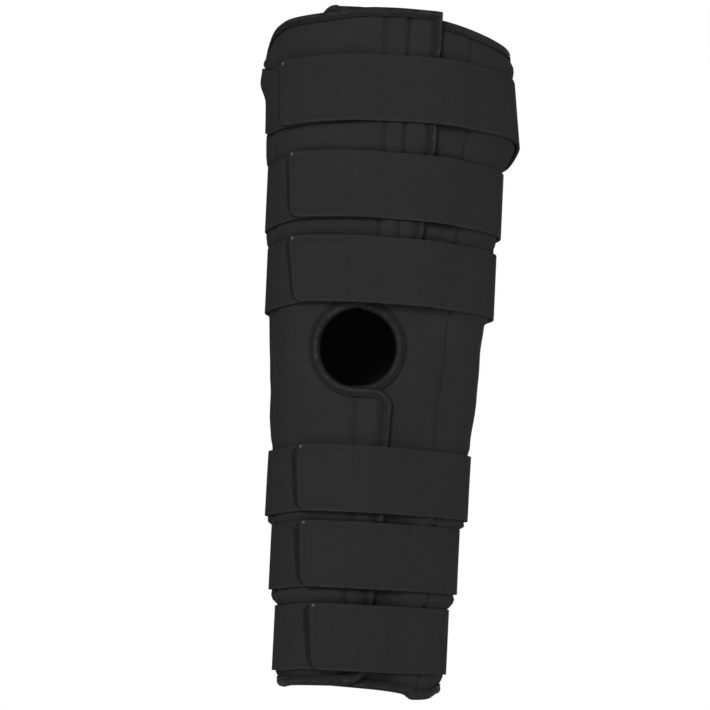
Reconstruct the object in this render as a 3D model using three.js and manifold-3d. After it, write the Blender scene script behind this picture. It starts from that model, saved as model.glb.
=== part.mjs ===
// A knee immobilizer: one padded sleeve wrapped round the leg and lapped at the front, open over the
// kneecap, its edges bound, and closed by six straps that run right round it.
// Millimetres, +Z up. The front faces -Y and +X is to its right. The origin is on the sleeve's axis, at
// the height of the kneecap opening. Angles are degrees round the axis, 0 at the front, 90 at +X.
import * as THREE from 'three';
import { mergeVertices } from 'three/addons/utils/BufferGeometryUtils.js';
import Module from 'manifold-3d';

const wasm = await Module();
wasm.setup();

const LENGTH = 508;
const THIGH_HALF_WIDTH = 95.5;
const CALF_HALF_WIDTH = 63;
const SLEEVE_WALL = 6.5;
const BINDING_WIDTH = 8;
const BINDING_ROUND = 2;
const CORNER_ROUND = 14;
const KNEE_OPENING_RADIUS = 30;
const STRAP_WIDTH = 50;
const STRAP_WALL = 2.4;
const STRAP_END_ROUND = 7;
const HOOK_WALL = 1.2;
const HOOK_MARGIN = 2;
const CLEARANCE = 0.3;
const LAYER_GAP = 0.6;

// The sleeve is a trapezium wrapped from the under flap's edge, round the right, the back and the left,
// to the over flap's edge, so its own angles run past a full turn.
const UNDER_EDGE_TURN = -28;
const FULL_TURN = 360;
const STEP_TURN = 7.5;
const LEAST_STEP_TURN = STEP_TURN / 3;
const LIFT_START_TURN = -68;
const LIFT_END_TURN = -34;
const STEP_DOWN_START_TURN = 3;
const STEP_DOWN_END_TURN = 27;

// Outside sections, before the straps press it. height: share of LENGTH. spread: 0 is the calf's half
// width, 1 the thigh's. depth: front-to-back over side-to-side. shift, side: how far the centre lies
// towards the back and the right, shares of the thigh's half width.
const SECTIONS = [
  { height: -0.53, spread: 0.00, depth: 0.97, shift: 0.05, side: -0.014 },
  { height: -0.44, spread: 0.06, depth: 0.98, shift: 0.05, side: -0.014 },
  { height: -0.32, spread: 0.20, depth: 0.99, shift: 0.04, side: -0.014 },
  { height: -0.20, spread: 0.36, depth: 0.98, shift: 0.02, side: -0.010 },
  { height: -0.07, spread: 0.53, depth: 0.96, shift: 0.00, side: 0.000 },
  { height: 0.06, spread: 0.65, depth: 0.97, shift: 0.00, side: 0.000 },
  { height: 0.23, spread: 0.78, depth: 1.00, shift: -0.02, side: 0.000 },
  { height: 0.38, spread: 0.91, depth: 1.02, shift: -0.03, side: 0.000 },
  { height: 0.46, spread: 0.97, depth: 1.02, shift: -0.03, side: 0.000 },
  { height: 0.53, spread: 1.00, depth: 1.02, shift: -0.03, side: 0.000 },
];

// Thigh and ankle edges, by the sleeve's own angle. height: share of LENGTH.
const THIGH_EDGE = [
  { turn: -28, height: 0.511 },
  { turn: 0, height: 0.505 },
  { turn: 33, height: 0.494 },
  { turn: 70, height: 0.482 },
  { turn: 180, height: 0.474 },
  { turn: 262, height: 0.469 },
  { turn: 278, height: 0.476 },
  { turn: 297, height: 0.492 },
  { turn: 335, height: 0.497 },
  { turn: 362, height: 0.504 },
  { turn: 392, height: 0.504 },
];
const ANKLE_EDGE = [
  { turn: -28, height: -0.499 },
  { turn: 20, height: -0.503 },
  { turn: 42, height: -0.507 },
  { turn: 52, height: -0.516 },
  { turn: 75, height: -0.507 },
  { turn: 180, height: -0.505 },
  { turn: 293, height: -0.507 },
  { turn: 332, height: -0.500 },
  { turn: 372, height: -0.496 },
];

// The over flap's free edge. height: share of LENGTH. turn: degrees right of the front.
const OVER_EDGE = [
  { height: -0.500, turn: 12 },
  { height: -0.360, turn: 14 },
  { height: -0.240, turn: 16.8 },
  { height: -0.087, turn: 16.5 },
  { height: 0.100, turn: 25 },
  { height: 0.184, turn: 27.5 },
  { height: 0.310, turn: 30.5 },
  { height: 0.520, turn: 30.5 },
];

// The U cut in each flap's free edge. Lengths: shares of KNEE_OPENING_RADIUS. side: 1 opens to the
// right, in the over flap. slant: degrees by which its upper lip rises towards the free edge.
const NOTCHES = {
  over: { side: 1, turn: FULL_TURN, middle: -0.07, height: 0, radius: 1.0, slant: 20 },
  under: { side: -1, turn: 0, middle: -0.06, height: 0.02, radius: 0.97, slant: 10 },
};

// Straps, by height. level: share of LENGTH. top_turn, bottom_turn: where the two corners of the outer
// end lie. sink: how far the upper edge presses into the foam, share of STRAP_WALL.
const STRAPS = [
  { name: 'thigh_upper', level: 0.383, top_turn: -47, bottom_turn: -45, sink: 0.9, course: 'slack' },
  { name: 'thigh_middle', level: 0.240, top_turn: -41, bottom_turn: -36, sink: 1.0, course: 'eased' },
  { name: 'thigh_lower', level: 0.115, top_turn: -39, bottom_turn: -34, sink: 0.8, course: 'eased' },
  { name: 'calf_upper', level: -0.195, top_turn: -33, bottom_turn: -30, sink: 0.5, course: 'snug' },
  { name: 'calf_middle', level: -0.307, top_turn: -32, bottom_turn: -28, sink: 0.8, course: 'snug' },
  { name: 'calf_lower', level: -0.429, top_turn: -26, bottom_turn: -22, sink: 1.0, course: 'snug' },
];
const DENT_FADE = 8;
const LAP_TURN = 33;
const LAP_CLEAR_TURN = 4;
const LAP_FALL_TURN = 18;
const SKEW_TURN = 15;

// How a strap runs round, from its outer end to its inner one. rise and the slack at its upper and
// lower edges: shares of STRAP_WIDTH.
const COURSES = {
  snug: [
    { turn: -60, rise: 0.01, upper: 0.00, lower: 0.00 },
    { turn: 90, rise: 0.00, upper: 0.00, lower: 0.00 },
    { turn: 180, rise: -0.04, upper: 0.00, lower: 0.00 },
    { turn: 270, rise: -0.06, upper: 0.00, lower: 0.00 },
    { turn: 360, rise: -0.05, upper: 0.00, lower: 0.00 },
  ],
  eased: [
    { turn: -60, rise: 0.01, upper: 0.00, lower: 0.00 },
    { turn: 45, rise: 0.00, upper: 0.01, lower: 0.01 },
    { turn: 90, rise: 0.00, upper: 0.07, lower: 0.07 },
    { turn: 135, rise: -0.02, upper: 0.02, lower: 0.02 },
    { turn: 180, rise: -0.04, upper: 0.00, lower: 0.00 },
    { turn: 270, rise: -0.06, upper: 0.00, lower: 0.00 },
    { turn: 360, rise: -0.05, upper: 0.00, lower: 0.00 },
  ],
  slack: [
    { turn: -60, rise: -0.08, upper: 0.00, lower: 0.00 },
    { turn: 0, rise: 0.00, upper: 0.00, lower: 0.00 },
    { turn: 50, rise: 0.03, upper: 0.02, lower: 0.04 },
    { turn: 75, rise: 0.04, upper: 0.07, lower: 0.16 },
    { turn: 95, rise: -0.02, upper: 0.10, lower: 0.22 },
    { turn: 112, rise: -0.28, upper: 0.11, lower: 0.11 },
    { turn: 140, rise: -0.38, upper: 0.04, lower: 0.02 },
    { turn: 180, rise: -0.20, upper: 0.02, lower: 0.00 },
    { turn: 225, rise: 0.00, upper: 0.06, lower: 0.00 },
    { turn: 255, rise: 0.12, upper: 0.15, lower: 0.02 },
    { turn: 272, rise: 0.10, upper: 0.12, lower: 0.00 },
    { turn: 285, rise: 0.00, upper: 0.00, lower: 0.00 },
    { turn: 300, rise: -0.06, upper: 0.00, lower: 0.00 },
    { turn: 360, rise: -0.08, upper: 0.00, lower: 0.00 },
  ],
};

const FABRIC = { color: 0x282828, roughness: 0.95, metalness: 0 };
const BINDING = { color: 0x1e1e1f, roughness: 0.8, metalness: 0 };
const WEBBING = { color: 0x2c2c2c, roughness: 0.97, metalness: 0 };
const HOOK = { color: 0x18181a, roughness: 0.6, metalness: 0 };

const radians = THREE.MathUtils.degToRad;
const ease = (value, from, to) => THREE.MathUtils.smoothstep(value, from, to);

// Reads one column of a table at a place between its rows.
function read(table, key, at, column) {
  const last = table.length - 1;
  let row = 0;
  while (row < last - 1 && at > table[row + 1][key]) {
    row += 1;
  }
  const [low, high] = [table[row], table[row + 1]];
  const part = THREE.MathUtils.clamp((at - low[key]) / (high[key] - low[key]), 0, 1);
  return THREE.MathUtils.lerp(low[column], high[column], part);
}

// Half width of the sleeve's outside at a height, where it is one layer and no strap presses it.
function freeWidth(height) {
  const spread = read(SECTIONS, 'height', height / LENGTH, 'spread');
  return THREE.MathUtils.lerp(CALF_HALF_WIDTH, THIGH_HALF_WIDTH, spread);
}

// A strap keeps one girth, so it is tight at its upper edge and dents the foam there.
const upperEdge = (strap) => LENGTH * strap.level + STRAP_WIDTH / 2;
const grip = (strap) => freeWidth(upperEdge(strap)) - strap.sink * STRAP_WALL;

function dent(height) {
  const depths = STRAPS.map((strap) => {
    const above = height - upperEdge(strap);
    const pressed = freeWidth(Math.min(height, upperEdge(strap))) - grip(strap);
    return above < -STRAP_WIDTH ? 0 : Math.max(0, pressed * (1 - Math.max(0, above) / DENT_FADE));
  });
  return Math.max(...depths);
}

// Half width, half depth and centre of the sleeve's outside at a height.
function section(height) {
  const share = height / LENGTH;
  const width = freeWidth(height) - dent(height);
  return {
    width,
    depth: width * read(SECTIONS, 'height', share, 'depth'),
    back: THIGH_HALF_WIDTH * read(SECTIONS, 'height', share, 'shift'),
    side: THIGH_HALF_WIDTH * read(SECTIONS, 'height', share, 'side'),
  };
}

// A point at an angle and a height, out from the single layer's inner face by a distance.
function place(turn, height, out) {
  const { width, depth, back, side } = section(height);
  const angle = radians(turn);
  const x = side + (width - SLEEVE_WALL + out) * Math.sin(angle);
  const y = back - (depth - SLEEVE_WALL + out) * Math.cos(angle);
  return [x, y, height];
}

const overEdgeTurn = (height) => read(OVER_EDGE, 'height', height / LENGTH, 'turn');

// How far the over flap is lifted by the under flap beneath it, by the sleeve's own angle.
const LIFT = SLEEVE_WALL + LAYER_GAP;
const sleeveLift = (turn) => LIFT * ease(turn - FULL_TURN, LIFT_START_TURN, LIFT_END_TURN);

// The outside of whatever layers of the sleeve lie at an angle and a height, bridged as a strap does.
function coverOut(turn, height) {
  const around = turn > FULL_TURN / 2 ? turn - FULL_TURN : turn;
  const edge = overEdgeTurn(height);
  const left = ease(around, LIFT_START_TURN, LIFT_END_TURN);
  const right = 1 - ease(around, edge + STEP_DOWN_START_TURN, edge + STEP_DOWN_END_TURN);
  return SLEEVE_WALL + LIFT * left * right;
}

// Heights at which the sleeve has a row of points: its ends, the knee and each strap's dent.
const SHEET_HALF_HEIGHT = LENGTH * SECTIONS[SECTIONS.length - 1].height;
const DENT_SHARE = 0.55;
const SHEET_ROWS = [-SHEET_HALF_HEIGHT, 0, SHEET_HALF_HEIGHT];
for (const strap of STRAPS) {
  const top = upperEdge(strap);
  SHEET_ROWS.push(top - DENT_SHARE * STRAP_WIDTH, top, top + DENT_FADE);
}
SHEET_ROWS.sort((a, b) => a - b);

// Flat cut of the sleeve. A point is an angle and a height; lengths near it are in millimetres.
const millimetresPerDegree = (height) => radians(section(height).width);

function nudge([turn, height], along, up) {
  return [turn + along / millimetresPerDegree(height), height + up];
}

function arc(centre, radius, from, to, pieces) {
  const points = [];
  for (let i = 0; i <= pieces; i += 1) {
    const angle = radians(THREE.MathUtils.lerp(from, to, i / pieces));
    points.push(nudge(centre, radius * Math.cos(angle), radius * Math.sin(angle)));
  }
  return points;
}

const CORNER_PIECES = 4;
const NOTCH_PIECES = 12;

// Points on the straight line between two others, no further apart than a step of angle.
function between(from, to) {
  const pieces = Math.ceil(Math.abs(to[0] - from[0]) / STEP_TURN);
  const points = [];
  for (let i = 1; i < pieces; i += 1) {
    const part = i / pieces;
    points.push([THREE.MathUtils.lerp(from[0], to[0], part), THREE.MathUtils.lerp(from[1], to[1], part)]);
  }
  return points;
}

// A flap's free edge with its U cut, drawn upwards for the over flap and mirrored for the under one.
function freeEdge(notch, edgeTurn) {
  const { side, slant } = notch;
  const radius = notch.radius * KNEE_OPENING_RADIUS;
  const height = notch.height * KNEE_OPENING_RADIUS;
  const middle = nudge([notch.turn, height], notch.middle * KNEE_OPENING_RADIUS, 0);
  const mirrored = (angle) => (side > 0 ? angle : 180 - angle);
  const inwards = -side * CORNER_ROUND;
  const lowerLip = height - radius;
  const lowerCorner = nudge([edgeTurn(lowerLip), lowerLip - CORNER_ROUND], inwards, 0);
  const reach = Math.abs(edgeTurn(height) - middle[0]) * millimetresPerDegree(height);
  const upperLip = height + radius + reach * Math.tan(radians(slant));
  const upperCorner = nudge([edgeTurn(upperLip), upperLip + CORNER_ROUND], inwards, 0);
  const top = 90 + slant - FULL_TURN;
  const lower = arc(lowerCorner, CORNER_ROUND, mirrored(0), mirrored(90), CORNER_PIECES);
  const round = arc(middle, radius, mirrored(-90), mirrored(top), NOTCH_PIECES);
  const upper = arc(upperCorner, CORNER_ROUND, mirrored(slant - 90), mirrored(0), CORNER_PIECES);
  return [
    ...lower,
    ...between(lower[CORNER_PIECES], round[0]),
    ...round,
    ...between(round[NOTCH_PIECES], upper[0]),
    ...upper,
  ];
}

// Points up a straight stretch of free edge, its two ends left out.
function stretch(edgeTurn, from, to) {
  const within = SHEET_ROWS.filter((height) => (height - from) * (height - to) < -CORNER_ROUND);
  const heights = from < to ? within : within.reverse();
  return heights.map((height) => [edgeTurn(height), height]);
}

// Points along the thigh or ankle edge at each step of angle between two limits.
function rim(table, from, to) {
  const points = [];
  for (let turn = Math.ceil(from / STEP_TURN) * STEP_TURN; turn <= to; turn += STEP_TURN) {
    points.push([turn, LENGTH * read(table, 'turn', turn, 'height')]);
  }
  return points;
}

function outline() {
  const overTurn = (height) => FULL_TURN + overEdgeTurn(height);
  const underTurn = () => UNDER_EDGE_TURN;
  const over = freeEdge(NOTCHES.over, overTurn);
  const under = freeEdge(NOTCHES.under, underTurn).reverse();
  const rimHeight = (table, turn) => LENGTH * read(table, 'turn', turn, 'height');
  const corner = (table, turn, side, up, from, to) => {
    const height = rimHeight(table, turn);
    const centre = nudge([turn, height - up * CORNER_ROUND], -side * CORNER_ROUND, 0);
    return arc(centre, CORNER_ROUND, from, to, CORNER_PIECES);
  };
  const ankle = ANKLE_EDGE[ANKLE_EDGE.length - 1].turn;
  const overAnkle = corner(ANKLE_EDGE, ankle, 1, -1, -90, 0);
  const underAnkle = corner(ANKLE_EDGE, UNDER_EDGE_TURN, -1, -1, 180, 270);
  const underThigh = corner(THIGH_EDGE, UNDER_EDGE_TURN, -1, 1, 90, 180);
  const thighHeight = LENGTH * THIGH_EDGE[THIGH_EDGE.length - 1].height;
  const overThigh = [overTurn(thighHeight), thighHeight];
  return [
    ...underAnkle,
    ...rim(ANKLE_EDGE, underAnkle[CORNER_PIECES][0] + LEAST_STEP_TURN, overAnkle[0][0] - LEAST_STEP_TURN),
    ...overAnkle,
    ...stretch(overTurn, overAnkle[CORNER_PIECES][1], over[0][1]),
    ...over,
    ...stretch(overTurn, over[over.length - 1][1], thighHeight),
    overThigh,
    ...rim(THIGH_EDGE, underThigh[0][0] + LEAST_STEP_TURN, overThigh[0] - LEAST_STEP_TURN).reverse(),
    ...underThigh,
    ...stretch(underTurn, underThigh[CORNER_PIECES][1], under[0][1]),
    ...under,
    ...stretch(underTurn, under[under.length - 1][1], underAnkle[0][1]),
  ];
}

// The outline moved inwards by a distance, each point along the mean of its two sides' normals.
function inset(points, distance) {
  const normal = (a, b) => {
    const along = (b[0] - a[0]) * millimetresPerDegree((a[1] + b[1]) / 2);
    return new THREE.Vector2(a[1] - b[1], along).normalize();
  };
  return points.map((point, i) => {
    const before = normal(points[(i + points.length - 1) % points.length], point);
    const after = normal(point, points[(i + 1) % points.length]);
    const reach = distance / (1 + before.dot(after));
    return nudge(point, reach * (before.x + after.x), reach * (before.y + after.y));
  });
}

function meshFrom(geometry, name, finish) {
  geometry.computeVertexNormals();
  const mesh = new THREE.Mesh(geometry, new THREE.MeshStandardMaterial(finish));
  mesh.name = name;
  return mesh;
}

// A closed body from rings of points, each ring joined to the next, ends capped or joined round.
function loft(rings, joined) {
  const sides = rings[0].length;
  const indices = [];
  const spans = joined ? rings.length : rings.length - 1;
  for (let i = 0; i < spans; i += 1) {
    const [here, next] = [i * sides, ((i + 1) % rings.length) * sides];
    for (let j = 0; j < sides; j += 1) {
      const k = (j + 1) % sides;
      indices.push(here + j, next + j, next + k, here + j, next + k, here + k);
    }
  }
  if (!joined) {
    const last = (rings.length - 1) * sides;
    for (let j = 1; j < sides - 1; j += 1) {
      indices.push(0, j, j + 1, last, last + j + 1, last + j);
    }
  }
  const geometry = new THREE.BufferGeometry();
  geometry.setAttribute('position', new THREE.Float32BufferAttribute(rings.flat(2), 3));
  geometry.setIndex(indices);
  return geometry;
}

function toManifold(geometry) {
  const bare = geometry.clone();
  bare.deleteAttribute('normal');
  bare.deleteAttribute('uv');
  const merged = mergeVertices(bare);
  const vertProperties = new Float32Array(merged.attributes.position.array);
  const triVerts = new Uint32Array(merged.index.array);
  return new wasm.Manifold(new wasm.Mesh({ numProp: 3, vertProperties, triVerts }));
}

// The flat sleeve is cut from a sheet of square panels: x is the angle in millimetres at the knee, y is
// the height and z the distance out. The sheet is domed while it is cut, so that its panels stay apart.
const SHEET_SCALE = millimetresPerDegree(0);
const DOME = 12;
const SHEET_FROM_TURN = Math.floor(UNDER_EDGE_TURN / STEP_TURN) * STEP_TURN;
const SHEET_TO_TURN = Math.ceil((FULL_TURN + OVER_EDGE[OVER_EDGE.length - 1].turn) / STEP_TURN) * STEP_TURN;

function dome(turn, height) {
  const middle = (SHEET_FROM_TURN + SHEET_TO_TURN) / 2;
  return DOME * ((turn - middle) / FULL_TURN) ** 2 * (FULL_TURN / STEP_TURN / SHEET_ROWS.length)
    + DOME * (height / LENGTH) ** 2;
}

function sheet() {
  const columns = Math.round((SHEET_TO_TURN - SHEET_FROM_TURN) / STEP_TURN);
  const wide = (SHEET_TO_TURN - SHEET_FROM_TURN) * SHEET_SCALE;
  const rows = SHEET_ROWS.length - 1;
  const box = new THREE.BoxGeometry(wide, rows, SLEEVE_WALL, columns, rows, 1);
  box.translate(wide / 2 + SHEET_FROM_TURN * SHEET_SCALE, rows / 2, SLEEVE_WALL / 2);
  const { position } = box.attributes;
  for (let i = 0; i < position.count; i += 1) {
    const height = SHEET_ROWS[Math.round(position.getY(i))];
    position.setY(i, height);
    position.setZ(i, position.getZ(i) + dome(position.getX(i) / SHEET_SCALE, height));
  }
  return box;
}

function sleeve(edge) {
  const shape = new THREE.Shape(edge.map(([turn, height]) => new THREE.Vector2(turn * SHEET_SCALE, height)));
  const tall = LENGTH / 2;
  const cutter = new THREE.ExtrudeGeometry(shape, { depth: 2 * tall, bevelEnabled: false });
  cutter.translate(0, 0, -tall);
  const cut = toManifold(sheet()).intersect(toManifold(cutter)).getMesh();
  const points = [];
  for (let i = 0; i < cut.vertProperties.length; i += cut.numProp) {
    const [x, y, z] = cut.vertProperties.slice(i, i + 3);
    const turn = x / SHEET_SCALE;
    points.push(...place(turn, y, z - dome(turn, y) + sleeveLift(turn)));
  }
  const geometry = new THREE.BufferGeometry();
  geometry.setAttribute('position', new THREE.Float32BufferAttribute(points, 3));
  geometry.setIndex([...cut.triVerts]);
  return geometry;
}

// The bound rim: tape folded over the squeezed edge of the foam, one band all the way round.
function binding(edge) {
  const rounded = inset(edge, BINDING_ROUND);
  const inner = inset(edge, BINDING_WIDTH);
  const rings = edge.map((point, i) => [
    [point, BINDING_ROUND],
    [point, SLEEVE_WALL - BINDING_ROUND],
    [rounded[i], SLEEVE_WALL],
    [inner[i], SLEEVE_WALL],
    [inner[i], 0],
    [rounded[i], 0],
  ].map(([[turn, height], out]) => place(turn, height, out + sleeveLift(turn))));
  return loft(rings, true);
}

// A strap's height and slack at an angle and a share of its width, 0 at its lower edge, 1 at its upper.
function strapAt(strap, turn, across) {
  const course = COURSES[strap.course];
  const rise = read(course, 'turn', turn, 'rise');
  const upper = read(course, 'turn', turn, 'upper');
  const lower = read(course, 'turn', turn, 'lower');
  const height = LENGTH * strap.level + STRAP_WIDTH * (rise + across - 0.5);
  return { height, slack: STRAP_WIDTH * THREE.MathUtils.lerp(lower, upper, across) };
}

// A point on a strap, out from its inner face. Its outer end laps over its inner end and the hooks.
const LAP_LIFT = STRAP_WALL + HOOK_WALL + 2 * LAYER_GAP;

function strapPoint(strap, turn, across, out) {
  const { height, slack } = strapAt(strap, turn, across);
  const end = THREE.MathUtils.lerp(strap.bottom_turn, strap.top_turn, across);
  const lapped = 1 - ease(turn - strap.top_turn - LAP_TURN, LAP_CLEAR_TURN, LAP_FALL_TURN);
  const skew = (end - strap.top_turn) * Math.max(0, 1 - (turn - strap.top_turn) / SKEW_TURN);
  const held = grip(strap) - section(height).width + LAYER_GAP + slack;
  const laid = coverOut(turn + skew, height) + held + LAP_LIFT * lapped;
  return place(turn + skew, height, laid + out);
}

// Where a band has sections: its rounded outer end, then each step of angle, then its inner end.
const ROUND_SHARE = 0.3;

function bandSections(strap, from, to, round) {
  const rounded = round / radians(section(LENGTH * strap.level).width + LIFT);
  const sections = [
    { turn: from, narrow: round },
    { turn: from + ROUND_SHARE * rounded, narrow: ROUND_SHARE * round },
    { turn: from + rounded, narrow: 0 },
  ];
  const first = Math.ceil((from + rounded + LEAST_STEP_TURN) / STEP_TURN) * STEP_TURN;
  for (let turn = first; turn < to - LEAST_STEP_TURN; turn += STEP_TURN) {
    sections.push({ turn, narrow: 0 });
  }
  sections.push({ turn: to, narrow: 0 });
  return sections;
}

// A flat band along a strap's course, between two angles and two distances out.
function band(strap, sections, margin, inner, outer) {
  const rings = sections.map(({ turn, narrow }) => {
    const edge = (margin + narrow) / STRAP_WIDTH;
    return [
      strapPoint(strap, turn, edge, inner),
      strapPoint(strap, turn, edge, outer),
      strapPoint(strap, turn, 1 - edge, outer),
      strapPoint(strap, turn, 1 - edge, inner),
    ];
  });
  return loft(rings, false);
}

function strapBand(strap) {
  const from = strap.top_turn;
  const to = from + FULL_TURN + LAP_TURN;
  return band(strap, bandSections(strap, from, to, STRAP_END_ROUND), 0, 0, STRAP_WALL);
}

// The hook tab under a strap's outer end, a little smaller all round.
function hookTab(strap) {
  const margin = HOOK_MARGIN / radians(section(LENGTH * strap.level).width + LIFT);
  const from = strap.top_turn + margin;
  const to = strap.top_turn + LAP_TURN - margin;
  const sections = bandSections(strap, from, to, STRAP_END_ROUND);
  return band(strap, sections, HOOK_MARGIN, -LAYER_GAP - HOOK_WALL + CLEARANCE, CLEARANCE - LAYER_GAP);
}

const part = new THREE.Group();
const edge = outline();
part.add(meshFrom(sleeve(inset(edge, BINDING_WIDTH + CLEARANCE)), 'sleeve', FABRIC));
part.add(meshFrom(binding(edge), 'edge_binding', BINDING));
for (const strap of STRAPS) {
  part.add(meshFrom(strapBand(strap), `strap_${strap.name}`, WEBBING));
  part.add(meshFrom(hookTab(strap), `hook_tab_${strap.name}`, HOOK));
}

export default part;
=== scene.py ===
"""A knee immobilizer: a padded wrap-round sleeve, bound along its edges, lapped at the front over a round
kneecap opening and closed by six straps.

Lengths are in millimetres until a point is placed, and angles are degrees round the sleeve's axis, 0 at
the front and 90 at +X. The sleeve's own angles run past a full turn, from its under flap to its over
flap. Left and right are those of someone who looks at the front.
"""
import bisect
import math

import bmesh
import bpy
from mathutils import Matrix, Vector, kdtree, noise


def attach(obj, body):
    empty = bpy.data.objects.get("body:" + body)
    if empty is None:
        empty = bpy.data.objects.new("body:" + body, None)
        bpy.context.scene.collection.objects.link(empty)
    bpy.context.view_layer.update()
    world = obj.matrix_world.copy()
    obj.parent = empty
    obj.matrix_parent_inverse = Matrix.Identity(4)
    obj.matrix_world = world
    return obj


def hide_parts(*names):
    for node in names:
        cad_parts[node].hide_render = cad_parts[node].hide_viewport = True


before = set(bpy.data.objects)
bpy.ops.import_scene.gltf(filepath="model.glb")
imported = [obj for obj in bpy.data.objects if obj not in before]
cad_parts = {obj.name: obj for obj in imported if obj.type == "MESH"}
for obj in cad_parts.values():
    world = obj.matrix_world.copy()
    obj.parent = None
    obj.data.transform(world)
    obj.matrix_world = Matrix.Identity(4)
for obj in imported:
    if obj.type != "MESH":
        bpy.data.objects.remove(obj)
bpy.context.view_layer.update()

METRES = 0.001
FULL_TURN = 360

LENGTH = 508
THIGH_HALF_WIDTH = 95.5
CALF_HALF_WIDTH = 63
SLEEVE_WALL = 6.5
CORNER_ROUND = 14
KNEE_OPENING_RADIUS = 30
STRAP_WIDTH = 50
STRAP_WALL = 2.4
STRAP_END_ROUND = 7
HOOK_WALL = 1.2
HOOK_MARGIN = 2
LAYER_GAP = 0.6
UNDER_EDGE_TURN = -28

# The over flap rises over the under flap between these angles, and the straps step down past its edge.
LIFT_TURNS = (-68, -34)
STEP_DOWN_TURNS = (3, 27)
LIFT = SLEEVE_WALL + LAYER_GAP

# Outside sections: height as a share of the length, spread from the calf's half width to the thigh's,
# depth over width, and the centre's shift to the back and the side as shares of the thigh's half width.
SECTIONS = [
    (-0.53, 0.00, 0.97, 0.05, -0.014),
    (-0.44, 0.06, 0.98, 0.05, -0.014),
    (-0.32, 0.20, 0.99, 0.04, -0.014),
    (-0.20, 0.36, 0.98, 0.02, -0.010),
    (-0.07, 0.53, 0.96, 0.00, 0.000),
    (0.06, 0.65, 0.97, 0.00, 0.000),
    (0.23, 0.78, 1.00, -0.02, 0.000),
    (0.38, 0.91, 1.02, -0.03, 0.000),
    (0.46, 0.97, 1.02, -0.03, 0.000),
    (0.53, 1.00, 1.02, -0.03, 0.000),
]

# Edges, as shares of the length by the sleeve's own angle.
THIGH_EDGE = [
    (-28, 0.511), (0, 0.505), (33, 0.494), (70, 0.482), (180, 0.474), (262, 0.469),
    (278, 0.476), (297, 0.492), (335, 0.497), (362, 0.504), (392, 0.504),
]
ANKLE_EDGE = [
    (-28, -0.499), (20, -0.503), (42, -0.508), (51, -0.516), (66, -0.515), (84, -0.507), (180, -0.505),
    (293, -0.507), (332, -0.500), (372, -0.496),
]

# The over flap's free edge: angle right of the front, by height as a share of the length.
OVER_EDGE = [
    (-0.500, 12), (-0.360, 14), (-0.240, 16.8), (-0.087, 16.5), (0.100, 25), (0.184, 27.5),
    (0.310, 30.5), (0.520, 30.5),
]

# Stitched lines down the sleeve: angle by height as a share of the length.
SIDE_SEAM = [(-0.50, 53), (-0.24, 52.8), (-0.10, 46), (0.00, 48), (0.50, 49)]
FAR_SEAM = [(-0.50, 300), (0.50, 300)]
HOOK_STRIP_LEFT = [
    (-0.50, 357.6), (-0.37, 357.8), (-0.25, 360.2), (-0.11, 358.9), (0.18, 366.8), (0.31, 367.6),
    (0.46, 366.0),
]
HOOK_STRIP_RIGHT = [
    (-0.50, 364), (-0.12, 368), (0.14, 375.5), (0.18, 376.0), (0.31, 376.5), (0.46, 376.3),
]

# The U cut in each flap, in shares of the opening's radius: side, angle, middle, height, radius, slant.
OVER_NOTCH = (1, FULL_TURN, -0.07, 0, 1.0, 20)
UNDER_NOTCH = (-1, 0, -0.06, 0.02, 0.97, 10)

# Straps: level as a share of the length, the angles of the outer end's two corners, how far the upper
# edge sinks into the foam as a share of the strap's wall, and its course round the sleeve.
STRAPS = {
    "thigh_upper": (0.383, -43.2, -41.2, 0.9, "slack"),
    "thigh_middle": (0.240, -37.1, -34, 1.0, "eased"),
    "thigh_lower": (0.115, -36.4, -31.6, 0.8, "eased"),
    "calf_upper": (-0.195, -30, -27, 0.5, "snug"),
    "calf_middle": (-0.307, -28.5, -25.5, 0.8, "snug"),
    "calf_lower": (-0.429, -22.7, -18.7, 1.0, "snug"),
}
DENT_FADE = 8
LAP_TURN = 33
LAP_FADE_TURNS = (4, 18)
LAP_LIFT = STRAP_WALL + HOOK_WALL + 2 * LAYER_GAP
SKEW_TURN = 15

# A strap's course: angle, rise, and how far its upper and its lower edge stand off, as shares of its
# width.
COURSES = {
    "snug": [
        (-60, 0.01, 0.00, 0.00), (90, 0.00, 0.00, 0.00), (180, -0.04, 0.00, 0.00),
        (270, -0.06, 0.00, 0.00), (308, -0.05, 0.00, 0.00), (335, 0.00, 0.00, 0.00),
        (360, 0.01, 0.00, 0.00),
    ],
    "eased": [
        (-60, 0.01, 0.00, 0.00), (45, 0.00, 0.01, 0.01), (90, 0.00, 0.07, 0.07),
        (135, -0.02, 0.02, 0.02), (180, -0.04, 0.00, 0.00), (270, -0.06, 0.00, 0.00),
        (308, -0.05, 0.00, 0.00), (335, 0.00, 0.00, 0.00), (360, 0.01, 0.00, 0.00),
    ],
    "slack": [
        (-60, -0.08, 0.00, 0.00), (0, 0.00, 0.00, 0.00), (50, 0.03, 0.02, 0.04),
        (75, 0.04, 0.07, 0.16), (95, -0.02, 0.10, 0.22), (112, -0.28, 0.11, 0.11),
        (140, -0.38, 0.04, 0.02), (180, -0.20, 0.02, 0.00), (225, 0.00, 0.06, 0.00),
        (255, 0.12, 0.15, 0.00), (272, 0.10, 0.12, -0.02), (285, 0.00, 0.00, -0.01),
        (300, -0.06, 0.00, 0.00), (315, -0.06, 0.00, 0.00), (346, -0.01, 0.00, 0.00),
        (360, 0.00, 0.00, 0.00),
    ],
}


def mix(low, high, share):
    return low + (high - low) * share


def ease(value, start, end):
    """0 before start, 1 past end, and a smooth rise between them."""
    share = min(1.0, max(0.0, (value - start) / (end - start)))
    return share * share * (3 - 2 * share)


def hump(value, rise_start, rise_end, fall_start, fall_end):
    """1 between the rise and the fall and 0 beyond them."""
    return ease(value, rise_start, rise_end) * (1 - ease(value, fall_start, fall_end))


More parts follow.
